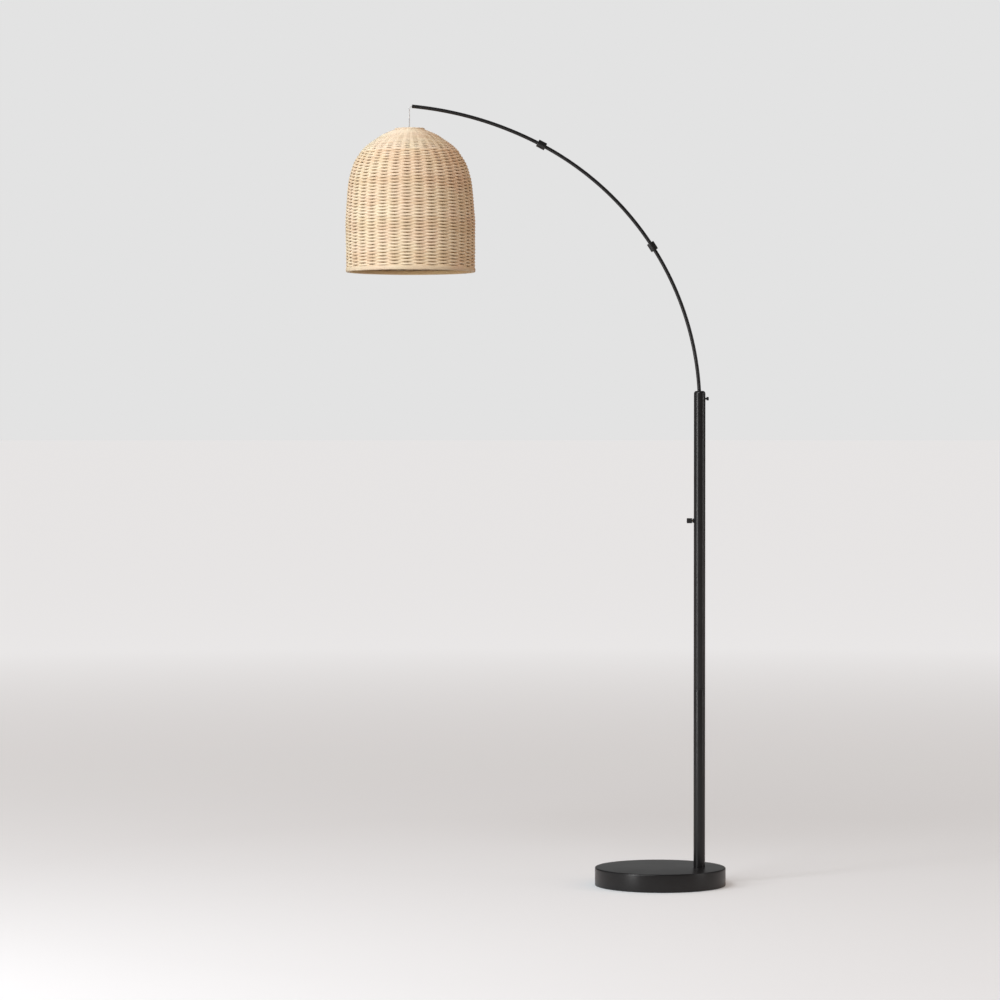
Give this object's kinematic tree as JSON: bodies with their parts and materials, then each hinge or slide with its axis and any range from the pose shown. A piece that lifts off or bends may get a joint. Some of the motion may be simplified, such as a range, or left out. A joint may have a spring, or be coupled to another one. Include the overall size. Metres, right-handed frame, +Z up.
{
  "type": "floor lamp",
  "caption": "Floor lamp with a round weighted base, an upright pole, a bent sectioned arm that slides and swivels, and a woven rattan bell shade hanging by its cord from the arm's tip.",
  "frame": {"origin": "centre of the round base, on the floor", "axes": "+Z up along the pole; the pole stands on the +X side of the base and the arm reaches towards -X; +Y is the back, where the mains lead's grommet is"},
  "size_m": [0.8396, 0.2899, 1.718],
  "materials": {
    "black_enamel": "semi-gloss black enamel on steel",
    "black_plastic": "moulded, satin",
    "zinc_steel": "bright zinc plate",
    "brass": "turned, bare",
    "white_nylon": "natural moulded nylon",
    "cast_weight": "rough cast cement",
    "felt": "pressed felt",
    "clear_pvc": "clear sheath over pale cores",
    "rattan": "natural peeled core, unvarnished",
    "opal_plastic": "opal diffuser"
  },
  "bodies": {
    "stand": {"floor_pad": "felt", "base_cover": "black_enamel", "base_weight": "cast_weight", "base_nut": "zinc_steel", "base_washer": "zinc_steel", "base_tie_tube": "zinc_steel", "lead_grommet": "black_plastic", "pole_foot_plug": "zinc_steel", "lower_pole": "black_enamel", "pole_coupler": "zinc_steel", "upper_pole": "black_enamel", "pole_cap": "black_enamel", "guide_bush": "white_nylon", "switch_body": "black_plastic", "switch_nut": "zinc_steel"},
    "switch_rotor": {"switch_spindle": "brass", "switch_knob": "black_plastic"},
    "pressure_pad": {"screw_pad": "brass"},
    "clamp_screw": {"thumb_screw": "black_enamel"},
    "arm_slide": {"stem_bush": "white_nylon"},
    "arm": {"stem_clip": "zinc_steel", "lower_arm": "black_enamel", "middle_arm": "black_enamel", "upper_arm": "black_enamel", "lower_collar": "black_enamel", "lower_ferrule": "zinc_steel", "upper_collar": "black_enamel", "upper_ferrule": "zinc_steel", "tip_bush": "black_plastic", "arm_cable": "clear_pvc"},
    "cord": {"pendant_cord": "clear_pvc"},
    "pendant": {"shade": "rattan", "rim_hoop": "rattan", "fitter_plate": "zinc_steel", "cord_grip": "white_nylon", "holder_cap": "black_plastic", "lampholder": "black_plastic", "centre_contact": "brass", "lamp_cap": "zinc_steel", "lamp_collar": "opal_plastic", "lamp_globe": "opal_plastic"}
  },
  "joints": [
    {"name": "arm_height", "type": "slide", "parent": "stand", "child": "arm_slide", "axis": [0, 0, 1], "range_m": [0, 0.16]},
    {"name": "arm_swivel", "type": "hinge", "parent": "arm_slide", "child": "arm", "pos_m": [0.086, 0, 1], "axis": [0, 0, 1], "range_deg": [-180, 180]},
    {"name": "cord_swing", "type": "hinge", "parent": "arm", "child": "cord", "pos_m": [-0.5525, 0, 1.7087], "axis": [0, 1, 0], "range_deg": [-20, 40], "deforming": ["pendant_cord"]},
    {"name": "shade_swing", "type": "hinge", "parent": "cord", "child": "pendant", "pos_m": [-0.5525, 0, 1.66455], "axis": [1, 0, 0], "range_deg": [-25, 25]},
    {"name": "pad_travel", "type": "slide", "parent": "stand", "child": "pressure_pad", "axis": [1, 0, 0], "range_m": [0, 0.0014]},
    {"name": "thumb_screw_turn", "type": "hinge", "parent": "pressure_pad", "child": "clamp_screw", "pos_m": [0.1, 0, 1.072], "axis": [1, 0, 0], "range_deg": [0, 720]},
    {"name": "switch_turn", "type": "hinge", "parent": "stand", "child": "switch_rotor", "pos_m": [0.06, 0, 0.8035], "axis": [-1, 0, 0], "continuous": true}
  ],
  "couplings": [
    {"joint": "thumb_screw_turn", "follows": "pad_travel", "rad_per_m": 8976}
  ]
}
